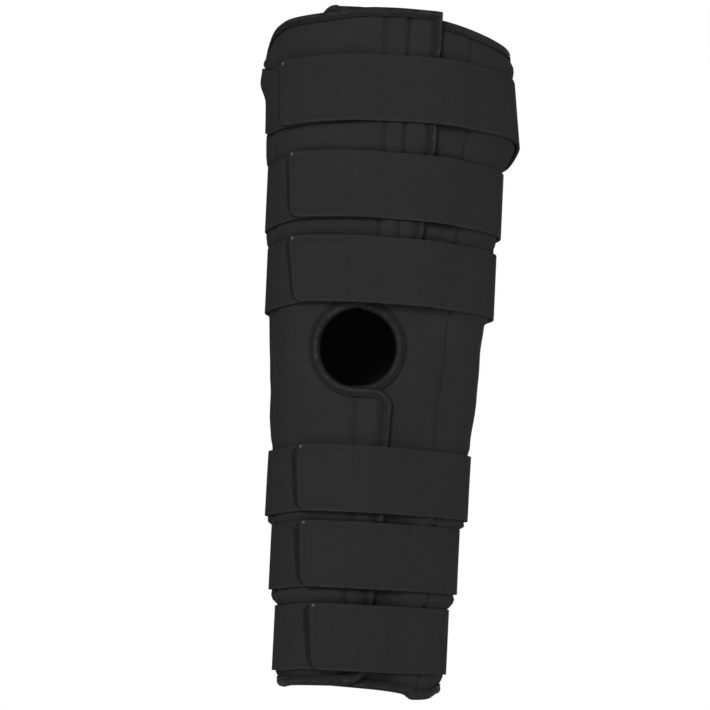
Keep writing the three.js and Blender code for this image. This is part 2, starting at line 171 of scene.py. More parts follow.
def smooth_curve(points):
    """A smooth run through (place, value) points that is level past its ends and never overshoots."""
    places, values = zip(*points)
    slopes = [
        (values[i + 1] - values[i]) / (places[i + 1] - places[i]) for i in range(len(points) - 1)
    ]
    leans = [slopes[0]]
    for before, after in zip(slopes, slopes[1:]):
        leans.append(2 * before * after / (before + after) if before * after > 0 else 0.0)
    leans.append(slopes[-1])

    def at(place):
        if place <= places[0]:
            return values[0]
        if place >= places[-1]:
            return values[-1]
        row = bisect.bisect_right(places, place) - 1
        span = places[row + 1] - places[row]
        share = (place - places[row]) / span
        rise = share * share * (3 - 2 * share)
        left = share * (1 - share) ** 2
        right = share * share * (share - 1)
        bend = span * (left * leans[row] + right * leans[row + 1])
        return values[row] + (values[row + 1] - values[row]) * rise + bend

    return at


def by_height(points):
    return smooth_curve([(LENGTH * share, value) for share, value in points])


spread_at, depth_at, shift_at, side_at = (
    by_height([(row[0], row[column]) for row in SECTIONS]) for column in range(1, 5)
)
thigh_edge = smooth_curve([(turn, LENGTH * share) for turn, share in THIGH_EDGE])
ankle_edge = smooth_curve([(turn, LENGTH * share) for turn, share in ANKLE_EDGE])
over_edge = by_height(OVER_EDGE)
side_seam = by_height(SIDE_SEAM)
far_seam = by_height(FAR_SEAM)
hook_strip_left = by_height(HOOK_STRIP_LEFT)
hook_strip_right = by_height(HOOK_STRIP_RIGHT)
courses = {
    name: [smooth_curve([(row[0], row[column]) for row in rows]) for column in range(1, 4)]
    for name, rows in COURSES.items()
}


def free_width(height):
    """Half width of the sleeve's outside where it is one layer and no strap presses it."""
    return mix(CALF_HALF_WIDTH, THIGH_HALF_WIDTH, spread_at(height))


def upper_edge(strap):
    return LENGTH * STRAPS[strap][0] + STRAP_WIDTH / 2


def grip(strap):
    return free_width(upper_edge(strap)) - STRAPS[strap][3] * STRAP_WALL


STRAP_TOPS = [(upper_edge(strap), grip(strap)) for strap in STRAPS]


def dent(height):
    """How far the straps press the sleeve in: most at a strap's upper edge, fading just above it."""
    deepest = 0.0
    for top, held in STRAP_TOPS:
        above = height - top
        if -STRAP_WIDTH < above < DENT_FADE:
            pressed = free_width(min(height, top)) - held
            deepest = max(deepest, pressed * (1 - ease(above, 0, DENT_FADE)))
    return deepest


def place(turn, height, out):
    """The point out from the single layer's inner face, in metres."""
    width = free_width(height) - dent(height)
    angle = math.radians(turn)
    reach = width - SLEEVE_WALL + out
    deep = width * depth_at(height) - SLEEVE_WALL + out
    x = THIGH_HALF_WIDTH * side_at(height) + reach * math.sin(angle)
    y = THIGH_HALF_WIDTH * shift_at(height) - deep * math.cos(angle)
    return Vector((x, y, height)) * METRES


def per_degree(height):
    """Millimetres round the sleeve in one degree."""
    return math.radians(free_width(height) - dent(height))


def sleeve_lift(turn):
    return LIFT * ease(turn - FULL_TURN, *LIFT_TURNS)


def cover_out(turn, height):
    """How far out a strap lies that bridges the sleeve's layers at an angle and a height."""
    around = turn - FULL_TURN if turn > FULL_TURN / 2 else turn
    edge = over_edge(height)
    left = ease(around, *LIFT_TURNS)
    right = 1 - ease(around, edge + STEP_DOWN_TURNS[0], edge + STEP_DOWN_TURNS[1])
    return SLEEVE_WALL + LIFT * left * right


def strap_middle(strap, turn):
    level, _, _, _, course = STRAPS[strap]
    return LENGTH * level + STRAP_WIDTH * courses[course][0](turn)


def under_guide(height):
    return UNDER_EDGE_TURN


def over_guide(height):
    return FULL_TURN + over_edge(height)


# Flat cut of the sleeve: points of angle and height, with lengths near them in millimetres.

EDGE_STEP = 3.0
CORNER_PIECES = 8
NOTCH_PIECES = 44


def nudge(point, along, up):
    return (point[0] + along / per_degree(point[1]), point[1] + up)


def arc(centre, radius, start, end, pieces):
    points = []
    for i in range(pieces + 1):
        angle = math.radians(mix(start, end, i / pieces))
        points.append(nudge(centre, radius * math.cos(angle), radius * math.sin(angle)))
    return points


def between(start, end):
    """Points on the straight line between two others."""
    reach = math.hypot((end[0] - start[0]) * per_degree(start[1]), end[1] - start[1])
    pieces = max(1, math.ceil(reach / EDGE_STEP))
    return [
        (mix(start[0], end[0], i / pieces), mix(start[1], end[1], i / pieces)) for i in range(1, pieces)
    ]


def free_edge(notch, edge_turn):
    """A flap's free edge at its U cut, drawn upwards; the under flap's is mirrored."""
    side, turn, middle, height, radius, slant = notch
    radius *= KNEE_OPENING_RADIUS
    height *= KNEE_OPENING_RADIUS
    centre = nudge((turn, height), middle * KNEE_OPENING_RADIUS, 0)
    inwards = -side * CORNER_ROUND

    def facing(angle):
        return angle if side > 0 else 180 - angle

    lower_lip = height - radius
    lower_corner = nudge((edge_turn(lower_lip), lower_lip - CORNER_ROUND), inwards, 0)
    reach = abs(edge_turn(height) - centre[0]) * per_degree(height)
    upper_lip = height + radius + reach * math.tan(math.radians(slant))
    upper_corner = nudge((edge_turn(upper_lip), upper_lip + CORNER_ROUND), inwards, 0)
    lower = arc(lower_corner, CORNER_ROUND, facing(0), facing(90), CORNER_PIECES)
    round_cut = arc(centre, radius, facing(-90), facing(90 + slant - FULL_TURN), NOTCH_PIECES)
    upper = arc(upper_corner, CORNER_ROUND, facing(slant - 90), facing(0), CORNER_PIECES)
    lower_link = between(lower[-1], round_cut[0])
    upper_link = between(round_cut[-1], upper[0])
    return lower + lower_link + round_cut + upper_link + upper


def stretch(edge_turn, start, end):
    """Points along a straight stretch of free edge, its two ends left out."""
    pieces = math.ceil(abs(end - start) / EDGE_STEP)
    heights = [mix(start, end, i / pieces) for i in range(1, pieces)]
    return [(edge_turn(height), height) for height in heights]


def rim(edge, start, end):
    """Points along the thigh or the ankle edge between two angles, its two ends left out."""
    pieces = math.ceil(abs(end - start) * per_degree(edge(start)) / EDGE_STEP)
    turns = [mix(start, end, i / pieces) for i in range(1, pieces)]
    return [(turn, edge(turn)) for turn in turns]


def sleeve_outline():
    """The sleeve's edge, counter-clockwise from the under flap's ankle corner."""

    def corner(edge, turn, side, up, start, end):
        centre = nudge((turn, edge(turn) - up * CORNER_ROUND), -side * CORNER_ROUND, 0)
        return arc(centre, CORNER_ROUND, start, end, CORNER_PIECES)

    ankle_turn = ANKLE_EDGE[-1][0]
    over = free_edge(OVER_NOTCH, over_guide)
    under = free_edge(UNDER_NOTCH, under_guide)[::-1]
    over_ankle = corner(ankle_edge, ankle_turn, 1, -1, -90, 0)
    under_ankle = corner(ankle_edge, UNDER_EDGE_TURN, -1, -1, 180, 270)
    under_thigh = corner(thigh_edge, UNDER_EDGE_TURN, -1, 1, 90, 180)
    thigh_height = thigh_edge(THIGH_EDGE[-1][0])
    over_thigh = (over_guide(thigh_height), thigh_height)
    return [
        *under_ankle,
        *rim(ankle_edge, under_ankle[-1][0], over_ankle[0][0]),
        *over_ankle,
        *stretch(over_guide, over_ankle[-1][1], over[0][1]),
        *over,
        *stretch(over_guide, over[-1][1], thigh_height),
        over_thigh,
        *rim(thigh_edge, over_thigh[0], under_thigh[0][0]),
        *under_thigh,
        *stretch(under_guide, under_thigh[-1][1], under[0][1]),
        *under,
        *stretch(under_guide, under[-1][1], under_ankle[0][1]),
    ]


def inward(start, end):
    """The unit normal into the sleeve along a piece of its edge, in millimetres."""
    along = (end[0] - start[0]) * per_degree((start[1] + end[1]) / 2)
    return Vector((start[1] - end[1], along)).normalized()


OUTLINE = sleeve_outline()


def mitres(points):
    """For each point of a closed edge, the move into the sleeve that keeps both its sides parallel."""
    moves = []
    for i, point in enumerate(points):
        before = inward(points[i - 1], point)
        after = inward(point, points[(i + 1) % len(points)])
        moves.append((before + after) / (1 + before.dot(after)))
    return moves


MITRES = mitres(OUTLINE)

# Nearness to the edge, from samples of it in the flat.
SAMPLE_STEP = 1.0
FLAT_SCALE = per_degree(0)


def sample_edge(points):
    samples = []
    for i, point in enumerate(points):
        end = points[(i + 1) % len(points)]
        reach = math.hypot((end[0] - point[0]) * per_degree(point[1]), end[1] - point[1])
        pieces = max(1, math.ceil(reach / SAMPLE_STEP))
        normal = inward(point, end)
        for j in range(pieces):
            share = j / pieces
            samples.append((mix(point[0], end[0], share), mix(point[1], end[1], share), normal))
    tree = kdtree.KDTree(len(samples))
    for i, (turn, height, _) in enumerate(samples):
        tree.insert((turn * FLAT_SCALE, height, 0), i)
    tree.balance()
    return samples, tree


EDGE_SAMPLES, EDGE_TREE = sample_edge(OUTLINE)


def inside(turn, height):
    """How far inside the sleeve's edge a point lies, in millimetres."""
    _, index, _ = EDGE_TREE.find((turn * FLAT_SCALE, height, 0))
    edge_turn, edge_height, normal = EDGE_SAMPLES[index]
    along = (turn - edge_turn) * per_degree(edge_height)
    return along * normal.x + (height - edge_height) * normal.y


# Shaping of flat sheets.


def flat_sheet(columns, rows):
    """A grid with its columns and rows at the given flat places."""
    bm = bmesh.new()
    wide, tall = len(columns) - 1, len(rows) - 1
    bmesh.ops.create_grid(bm, x_segments=wide, y_segments=tall, size=1)
    for vert in bm.verts:
        column = round((vert.co.x + 1) / 2 * wide)
        row = round((vert.co.y + 1) / 2 * tall)
        vert.co = (columns[column], rows[row], 0)
    return bm


def lay_pattern(bm, along, up):
    """The piece's own map, in metres, from its flat places."""
    layer = bm.loops.layers.uv.new("pattern")
    for face in bm.faces:
        for loop in face.loops:
            x, y, _ = loop.vert.co
            loop[layer].uv = (along * x * METRES, up * y * METRES)


def thicken(bm):
    """Gives a flat sheet two faces, 0 at its inner and 1 at its outer one."""
    fresh = bmesh.ops.extrude_face_region(bm, geom=bm.faces[:], use_keep_orig=True)
    outer = [item for item in fresh["geom"] if isinstance(item, bmesh.types.BMVert)]
    bmesh.ops.translate(bm, verts=outer, vec=(0, 0, 1))
    bmesh.ops.recalc_face_normals(bm, faces=bm.faces[:])


def wrap(bm, placed):
    for vert in bm.verts:
        vert.co = placed(*vert.co)


def finish_piece(bm, name, material, nodes=()):
    mesh = bpy.data.meshes.new(name)
    for face in bm.faces:
        face.smooth = True
    bm.to_mesh(mesh)
    bm.free()
    piece = bpy.data.objects.new(name, mesh)
    bpy.context.scene.collection.objects.link(piece)
    mesh.materials.append(material)
    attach(piece, "root")
    if nodes:
        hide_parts(*nodes)
    return piece


def round_edges(piece, width, segments):
    bevel = piece.modifiers.new("round", "BEVEL")
    bevel.width = width * METRES
    bevel.segments = segments
    bevel.limit_method = "ANGLE"
    bevel.angle_limit = math.radians(40)
    bevel.harden_normals = False


# Materials.

def grey(value):
    return (value, value, value, 1)


WHITE = grey(1)


class Wiring:
    """Adds and joins nodes in one node tree."""

    def __init__(self, tree):
        self.tree = tree

    def node(self, kind, settings=None, **inputs):
        made = self.tree.nodes.new(kind)
        for key, value in (settings or {}).items():
            setattr(made, key, value)
        for key, value in inputs.items():
            self.feed(made, key.replace("_", " "), value)
        return made

    def feed(self, made, key, value):
        socket = made.inputs[int(key[1:])] if key[0] == "n" and key[1:].isdigit() else made.inputs[key]
        if isinstance(value, bpy.types.NodeSocket):
            self.tree.links.new(value, socket)
        else:
            socket.default_value = value

    def maths(self, operation, first, second=0.0):
        made = self.node("ShaderNodeMath", {"operation": operation})
        self.feed(made, "n0", first)
        self.feed(made, "n1", second)
        return made.outputs[0]

    def weighted(self, *parts):
        """The sum of (value, weight) pairs."""
        total = self.maths("MULTIPLY", *parts[0])
        for value, weight in parts[1:]:
            total = self.maths("ADD", total, self.maths("MULTIPLY", value, weight))
        return total

    def stretched(self, value, low, high, to_low=0.0, to_high=1.0):
        made = self.node("ShaderNodeMapRange", {"clamp": True})
        for key, given in zip(
            ("Value", "From Min", "From Max", "To Min", "To Max"), (value, low, high, to_low, to_high)
        ):
            self.feed(made, key, given)
        return made.outputs["Result"]

    def blended(self, share, first, second):
        made = self.node("ShaderNodeMix", {"data_type": "RGBA"})
        self.feed(made, "n0", share)
        self.feed(made, "n6", first)
        self.feed(made, "n7", second)
        return made.outputs[2]


def new_group(name, inputs, outputs):
    tree = bpy.data.node_groups.new(name, "ShaderNodeTree")
    for label, kind, value in inputs:
        socket = tree.interface.new_socket(label, in_out="INPUT", socket_type=kind)
        if value is not None:
            socket.default_value = value
    for label, kind in outputs:
        tree.interface.new_socket(label, in_out="OUTPUT", socket_type=kind)
    wires = Wiring(tree)
    return tree, wires, wires.node("NodeGroupInput"), wires.node("NodeGroupOutput")


VECTOR, FLOAT, COLOR = "NodeSocketVector", "NodeSocketFloat", "NodeSocketColor"


def nap_group():
    """Brushed loops: short fibres that lie one way in patches, with a broad unevenness of dye."""
    tree, wires, given, out = new_group(
        "brushed nap",
        [
            ("Place", VECTOR, None),
            ("Fibres per metre", FLOAT, 1400.0),
            ("Patches per metre", FLOAT, 90.0),
            ("Dark", COLOR, grey(0.02)),
            ("Light", COLOR, grey(0.04)),
        ],
        [("Color", COLOR), ("Height", FLOAT), ("Fuzz", FLOAT)],
    )
    fibres = wires.node("ShaderNodeTexNoise", Vector=given.outputs["Place"], Detail=5.0, Roughness=0.62)
    wires.feed(fibres, "Scale", given.outputs["Fibres per metre"])
    patches = wires.node("ShaderNodeTexNoise", Vector=given.outputs["Place"], Detail=4.0, Roughness=0.6)
    wires.feed(patches, "Scale", given.outputs["Patches per metre"])
    dye = wires.node("ShaderNodeTexNoise", Vector=given.outputs["Place"], Scale=14.0, Detail=2.0)
    fibre_mask = wires.stretched(fibres.outputs["Fac"], 0.3, 0.7)
    patch_mask = wires.stretched(patches.outputs["Fac"], 0.32, 0.68)
    dye_mask = wires.stretched(dye.outputs["Fac"], 0.3, 0.7)
    shade = wires.weighted((fibre_mask, 0.5), (patch_mask, 0.3), (dye_mask, 0.2))
    color = wires.blended(shade, given.outputs["Dark"], given.outputs["Light"])
    height = wires.weighted((patch_mask, 0.45), (fibre_mask, 1.0))
    wires.feed(out, "Color", color)
    wires.feed(out, "Height", height)
    wires.feed(out, "Fuzz", shade)
    return tree


def tape_group():
    """Woven tape: fine ribs across it crossed by threads along it."""
    tree, wires, given, out = new_group(
        "woven tape",
        [
            ("Place", VECTOR, None),
            ("Threads per metre", FLOAT, 1600.0),
            ("Dark", COLOR, grey(0.012)),
            ("Light", COLOR, grey(0.03)),
        ],
        [("Color", COLOR), ("Height", FLOAT)],
    )
    scaled = wires.node("ShaderNodeVectorMath", {"operation": "SCALE"})
    wires.feed(scaled, "n0", given.outputs["Place"])
    wires.feed(scaled, "Scale", given.outputs["Threads per metre"])
    split = wires.node("ShaderNodeSeparateXYZ", Vector=scaled.outputs[0])
    across = wires.maths("SINE", wires.maths("MULTIPLY", split.outputs["X"], math.tau))
    along = wires.maths("SINE", wires.maths("MULTIPLY", split.outputs["Y"], math.tau))
    woven = wires.maths("MULTIPLY", across, along)
    threads = wires.stretched(wires.weighted((across, 0.8), (woven, 1.0)), -1.6, 1.6)
    lint = wires.node("ShaderNodeTexNoise", Vector=given.outputs["Place"], Scale=420.0, Detail=4.0)
    lint_mask = wires.stretched(lint.outputs["Fac"], 0.35, 0.7)
    shade = wires.weighted((threads, 0.6), (lint_mask, 0.4))
    wires.feed(out, "Color", wires.blended(shade, given.outputs["Dark"], given.outputs["Light"]))
    wires.feed(out, "Height", threads)
    return tree


def wear_and_highlight_group():
    """Fibres that pale a finish, in streaks, where a mask says: rubbed wear, and also a painted highlight
    where the mask carries one.
    """
    tree, wires, given, out = new_group(
        "rubbed fibres and painted highlight",
        [
            ("Place", VECTOR, None),
            ("Color", COLOR, grey(0.03)),
            ("Rubbed", FLOAT, 0.0),
            ("Pale", COLOR, grey(0.06)),
        ],
        [("Color", COLOR)],
    )
    streaks = wires.node("ShaderNodeTexNoise", Vector=given.outputs["Place"], Scale=260.0, Detail=5.0)
    broken = wires.stretched(streaks.outputs["Fac"], 0.35, 0.65)
    share = wires.maths("MULTIPLY", given.outputs["Rubbed"], broken)
    wires.feed(out, "Color", wires.blended(share, given.outputs["Color"], given.outputs["Pale"]))
    return tree


NAP = nap_group()
TAPE = tape_group()
WEAR_AND_HIGHLIGHT = wear_and_highlight_group()


def new_material(name):
    material = bpy.data.materials.new(name)
    material.use_nodes = True
    tree = material.node_tree
    shader = tree.nodes["Principled BSDF"]
    return material, Wiring(tree), shader


def use_group(wires, group, **inputs):
    return wires.node("ShaderNodeGroup", {"node_tree": group}, **inputs)


def set_sheen(shader, weight, roughness, tint):
    shader.inputs["Sheen Weight"].default_value = weight
    shader.inputs["Sheen Roughness"].default_value = roughness
    shader.inputs["Sheen Tint"].default_value = tint


def bumped(wires, shader, height, depth, strength):
    bump = wires.node("ShaderNodeBump", Height=height, Strength=strength, Distance=depth * METRES)
    wires.feed(shader, "Normal", bump.outputs["Normal"])


def sleeve_fabric():
    """Brushed loop fabric over foam, rubbed a little paler along its height."""
    material, wires, shader = new_material("sleeve fabric")
    place_out = wires.node("ShaderNodeTexCoord").outputs["Object"]
    nap = use_group(
        wires, NAP, Place=place_out, Fibres_per_metre=1500.0, Patches_per_metre=110.0,
        Dark=grey(0.024), Light=grey(0.036),
    )
    rubs = wires.node("ShaderNodeTexNoise", Vector=place_out, Scale=22.0, Detail=3.0)
    rubbed = wires.stretched(rubs.outputs["Fac"], 0.5, 0.75, 0.0, 0.3)
    worn = use_group(
        wires, WEAR_AND_HIGHLIGHT, Place=place_out, Color=nap.outputs["Color"], Rubbed=rubbed, Pale=grey(0.04)
    )
    wires.feed(shader, "Base Color", worn.outputs["Color"])
    wires.feed(shader, "Roughness", wires.stretched(nap.outputs["Fuzz"], 0.0, 1.0, 0.88, 1.0))
    shader.inputs["Specular IOR Level"].default_value = 0.05
    set_sheen(shader, 0.02, 0.6, grey(0.5))
    bumped(wires, shader, nap.outputs["Height"], 0.45, 0.7)
    return material


def strap_fabric():
    """Brushed loop strap, denser than the sleeve's fabric, with paler selvedges: rubbed wear on both, and
    a painted highlight that makes the lower one paler.
    """
    material, wires, shader = new_material("strap fabric")
    coords = wires.node("ShaderNodeTexCoord").outputs
    nap = use_group(
        wires, NAP, Place=coords["Object"], Fibres_per_metre=1900.0, Patches_per_metre=170.0,
        Dark=grey(0.023), Light=grey(0.0335),
    )
    across = wires.node("ShaderNodeSeparateXYZ", Vector=coords["UV"]).outputs["Y"]
    half = STRAP_WIDTH * METRES / 2
    from_middle = wires.maths("ABSOLUTE", wires.maths("SUBTRACT", across, half))
    from_edge = wires.maths("SUBTRACT", half, from_middle)
    near_edge = wires.stretched(from_edge, 0.0004, 0.0018, 1.0, 0.0)
    # Paler selvedges: rubbed wear, plus a painted highlight that makes the lower selvedge the paler one.
    rubbed = wires.maths("MULTIPLY", near_edge, wires.stretched(across, 0.01, 0.04, 0.8, 0.25))
    worn = use_group(
        wires, WEAR_AND_HIGHLIGHT, Place=coords["Object"], Color=nap.outputs["Color"], Rubbed=rubbed, Pale=grey(0.047)
    )
    wires.feed(shader, "Base Color", worn.outputs["Color"])
    wires.feed(shader, "Roughness", wires.stretched(nap.outputs["Fuzz"], 0.0, 1.0, 0.9, 1.0))
    shader.inputs["Specular IOR Level"].default_value = 0.05
    set_sheen(shader, 0.02, 0.6, grey(0.5))
    bumped(wires, shader, nap.outputs["Height"], 0.35, 0.6)
    return material


# The binding's own map across the tape: the step from point to point of its profile, and the line near
# the crest of its fold where a highlight is painted.
TAPE_STEP = 1.2
TAPE_HIGHLIGHT_LINE = 11.0


def binding_fabric():
    """Woven bias tape, darker and smoother than the sleeve, with a painted highlight in patches along the
    crest of its fold and rubbed pale patches all over.
    """
    material, wires, shader = new_material("binding fabric")
    coords = wires.node("ShaderNodeTexCoord").outputs
    tape = use_group(
        wires, TAPE, Place=coords["UV"], Threads_per_metre=1500.0, Dark=grey(0.010), Light=grey(0.018)
    )
    rubs = wires.node("ShaderNodeTexNoise", Vector=coords["Object"], Scale=60.0, Detail=3.0)
    patches = rubs.outputs["Fac"]
    across = wires.node("ShaderNodeSeparateXYZ", Vector=coords["UV"]).outputs["Y"]
    # A highlight painted along the tape's crest, broken into patches, with pale rubbed patches anywhere
    # on the tape.
    from_highlight_line = wires.maths("ABSOLUTE", wires.maths("SUBTRACT", across, TAPE_HIGHLIGHT_LINE * METRES))
    on_highlight_line = wires.stretched(from_highlight_line, 0.0004, 0.0019, 1.0, 0.0)
    patchy_highlight = wires.maths("MULTIPLY", on_highlight_line, wires.stretched(patches, 0.35, 0.6, 0.35, 1.0))
    rubbed = wires.maths("MAXIMUM", patchy_highlight, wires.stretched(patches, 0.45, 0.75, 0.0, 0.25))
    worn = use_group(
        wires, WEAR_AND_HIGHLIGHT, Place=coords["Object"], Color=tape.outputs["Color"], Rubbed=rubbed, Pale=grey(0.041)
    )
    wires.feed(shader, "Base Color", worn.outputs["Color"])
    wires.feed(shader, "Roughness", wires.stretched(tape.outputs["Height"], 0.0, 1.0, 0.7, 0.55))
    shader.inputs["Specular IOR Level"].default_value = 0.12
    set_sheen(shader, 0.01, 0.6, grey(0.5))
    bumped(wires, shader, tape.outputs["Height"], 0.2, 0.5)
    return material


def hook_fabric():
    """Nylon hook tape: rows of tiny stiff hooks on a glossier ground."""
    material, wires, shader = new_material("hook tape")
    coords = wires.node("ShaderNodeTexCoord").outputs
    # These dark colours also set the tone of the strip past each strap's end, which is painted shadow.
    tape = use_group(
        wires, TAPE, Place=coords["UV"], Threads_per_metre=620.0, Dark=grey(0.008), Light=grey(0.017)
    )
    wires.feed(shader, "Base Color", tape.outputs["Color"])
    wires.feed(shader, "Roughness", wires.stretched(tape.outputs["Height"], 0.0, 1.0, 0.65, 0.4))
    shader.inputs["Specular IOR Level"].default_value = 0.2
    bumped(wires, shader, tape.outputs["Height"], 0.8, 1.0)
    return material


def thread_finish(name, dark, light):
    """Twisted sewing thread."""
    material, wires, shader = new_material(name)
    coords = wires.node("ShaderNodeTexCoord").outputs
    twist = wires.node("ShaderNodeTexNoise", Vector=coords["Object"], Scale=3200.0, Detail=2.0)
    mask = wires.stretched(twist.outputs["Fac"], 0.35, 0.65)
    wires.feed(shader, "Base Color", wires.blended(mask, dark, light))
    wires.feed(shader, "Roughness", wires.stretched(mask, 0.0, 1.0, 0.85, 0.7))
    shader.inputs["Specular IOR Level"].default_value = 0.15
    bumped(wires, shader, mask, 0.1, 0.5)
    return material


SLEEVE_FABRIC = sleeve_fabric()
STRAP_FABRIC = strap_fabric()
BINDING_FABRIC = binding_fabric()
HOOK_FABRIC = hook_fabric()
BLACK_THREAD = thread_finish("black thread", grey(0.006), grey(0.016))
PALE_THREAD = thread_finish("pale thread", grey(0.12), grey(0.27))

# The sleeve.

EDGE_TUCK = 3.2
CELL = 3.2
GUIDE_OFFSETS = (0, 0.9, 1.8, 3.0)
GUIDES = [under_guide, side_seam, far_seam, hook_strip_left, hook_strip_right, over_guide]

# The stitched guides, the height above which each is sewn and how deep it pulls the foam in.
STITCHED_GUIDES = [
    (side_seam, -LENGTH, 1.4),
    (far_seam, -LENGTH, 1.4),
    (hook_strip_left, -LENGTH, 2.2),
    (hook_strip_right, 0, 2.6),
]


def guided_turn(share, height):
    """The angle at a share of the way through the guides, which the grid's columns follow."""
    span = min(len(GUIDES) - 2, int(share))
    return mix(GUIDES[span](height), GUIDES[span + 1](height), share - span)


def guide_columns():
    """Columns close together beside each guide and evenly spread between them."""
    columns = []
    for span in range(len(GUIDES) - 1):
        wide = (GUIDES[span + 1](0) - GUIDES[span](0)) * FLAT_SCALE
        start, end = GUIDE_OFFSETS[-1], wide - GUIDE_OFFSETS[-1]
        pieces = max(1, math.ceil((end - start) / CELL))
        places = list(GUIDE_OFFSETS[:-1]) + [mix(start, end, i / pieces) for i in range(pieces + 1)]
        places += [wide - offset for offset in GUIDE_OFFSETS[-2:0:-1]]
        columns += [span + place_mm / wide for place_mm in places]
    return columns + [len(GUIDES) - 1.0]


def covering_turn(turn):
    """Where along its course a strap lies on the sleeve at one of the sleeve's own angles."""
    inner_end = FULL_TURN + LAP_TURN + STRAPS["thigh_upper"][1]
    if turn > inner_end:
        return turn - FULL_TURN
    return turn + FULL_TURN if turn < inner_end - FULL_TURN else turn


# On the left a strap bulges: shares of its width at which the bulge rises and then turns in again.
BULGE_TURNS = (215, 245, 285, 300)
BULGE_FOOT = (0, 0.5)
BULGE_RISE = (0.4, 0.78)
BULGE_TURN_IN = (0.78, 1)
TURNED_IN = 0.15


def slack(course, turn, across):
    """How far a strap stands off the foam. On the left its upper part bulges instead of leaning."""
    _, upper, lower = (column(turn) for column in courses[course])
    leaning = mix(lower, upper, across)
    foot = mix(lower, 0, ease(across, *BULGE_FOOT))
    crest = upper * ease(across, *BULGE_RISE) * (1 - TURNED_IN * ease(across, *BULGE_TURN_IN))
    return STRAP_WIDTH * mix(leaning, foot + crest, hump(turn, *BULGE_TURNS))


# How much of the room under a strap the foam fills, and how far past the strap that reaches.
SWELL_SHARE = 0.93
swell_reach = by_height([
    (-0.5, 13), (-0.18, 13), (-0.15, 4), (0.06, 4), (0.09, 13), (0.42, 13), (0.457, 26), (0.5, 26),
])


def swell(turn, height):
    """How far the foam swells into the room that a strap leaves, under it and just past its edges."""
    course_turn = covering_turn(turn)
    reach = swell_reach(height)
    most = 0.0
    for strap, (level, _, _, _, course) in STRAPS.items():
        rise = courses[course][0](course_turn)
        across = (height - LENGTH * level) / STRAP_WIDTH - rise + 0.5
        nearest = min(1.0, max(0.0, across))
        past = abs(across - nearest) * STRAP_WIDTH
        if past < reach:
            edge = LENGTH * level + STRAP_WIDTH * (rise + nearest - 0.5)
            room = grip(strap) - free_width(edge) + dent(edge) + slack(course, course_turn, nearest)
            most = max(most, SWELL_SHARE * room * (1 - ease(past, 0, reach)))
    return most


PUFF = 2.0
PUFF_RISE = 3
DENT_REGAINED = 0.8
RIGHT_TURNS = (45, 75, 140, 170)
RIGHT_HEIGHTS = (0, 40)
RIGHT_LESS = 0.85
LEFT_PUFF = 1.5
LEFT_TURNS = (215, 245, 290, 320)
over_top_strap = by_height([(0.41, 0), (0.43, 1), (0.46, 0.6), (0.49, 0)])
between_straps = by_height([
    (-0.445, 0), (-0.404, 1), (-0.217, 1), (-0.177, 0), (0.098, 0), (0.148, 1), (0.315, 1),
    (0.364, 0),
])


def strap_distance(turn, height):
    """How far a place on the sleeve is from the nearest strap; below 0 under one."""
    nearest = min(abs(height - strap_middle(strap, covering_turn(turn))) for strap in STRAPS)
    return nearest - STRAP_WIDTH / 2


def puff(turn, height, distance):
    """Foam squeezed out between two straps, less on the right of the thigh, and on the left over them."""
    right_thigh = ease(height, *RIGHT_HEIGHTS) * hump(turn, *RIGHT_TURNS)
    left = hump(covering_turn(turn), *LEFT_TURNS)
    over = LEFT_PUFF * left * over_top_strap(height)
    squeezed = PUFF + DENT_REGAINED * dent(height)
    between_two = between_straps(height) * squeezed * (1 - RIGHT_LESS * right_thigh)
    return ease(distance, 0, PUFF_RISE) * (between_two + over)


# The foam's unevenness: the size and the depth of its broad and its small waves.
BROAD_WAVES = (55, 1.3)
SMALL_WAVES = (21, 0.9)
SMALL_WAVES_APART = Vector((300, 0, 0))
UNEVEN_RISE = (3, 16)


def waves(point, kind):
    size, depth = kind
    return depth * noise.noise(point / size)


def rumple(turn, height):
    """How uneven foam is that is wrapped by hand, the same for layers that lie together."""
    point = place(turn, height, 0) / METRES
    distance = strap_distance(turn, height)
    uneven = waves(point, BROAD_WAVES) + waves(point + SMALL_WAVES_APART, SMALL_WAVES)
    return swell(turn, height) + puff(turn, height, distance) + ease(distance, *UNEVEN_RISE) * uneven


def on_sleeve(turn, height, out):
    """A point out from the inner face of the sleeve's own layer."""
    return place(turn, height, sleeve_lift(turn) + rumple(turn, height) + out)


GROOVE_WIDTH = 2.3
GROOVE_REACH = 3


def groove(turn, height):
    """How deep the stitched lines pull the sleeve's outer face in."""
    deepest = 0.0
    for guide, lowest, depth in STITCHED_GUIDES:
        if height < lowest:
            continue
        away = (turn - guide(height)) * per_degree(height) / GROOVE_WIDTH
        if abs(away) < GROOVE_REACH:
            deepest = max(deepest, depth * math.exp(-away * away))
    return deepest


SQUEEZED_WALL = 4.4
PLUMP = 0.5
PLUMP_RISE = (5.2, 12.5)
PLUMP_FALL = (14, 38)


def sleeve_wall(turn, height):
    """The foam's thickness: squeezed under the binding, plump beside it and pulled in at the stitches."""
    away = inside(turn, height)
    risen = mix(SQUEEZED_WALL, SLEEVE_WALL + PLUMP, ease(away, *PLUMP_RISE))
    return risen - PLUMP * ease(away, *PLUMP_FALL) - groove(turn, height)


def flat_place(share, level):
    """The angle and the height of a place on the sleeve's grid."""
    turn = guided_turn(share, mix(-LENGTH / 2, LENGTH / 2, level))
    height = mix(ankle_edge(turn), thigh_edge(turn), level)
    turn = guided_turn(share, height)
    return turn, mix(ankle_edge(turn), thigh_edge(turn), level)


def sleeve_point(share, level, layer):
    turn, height = flat_place(share, level)
    return on_sleeve(turn, height, sleeve_wall(turn, height) if layer > 0.5 else 0.0)


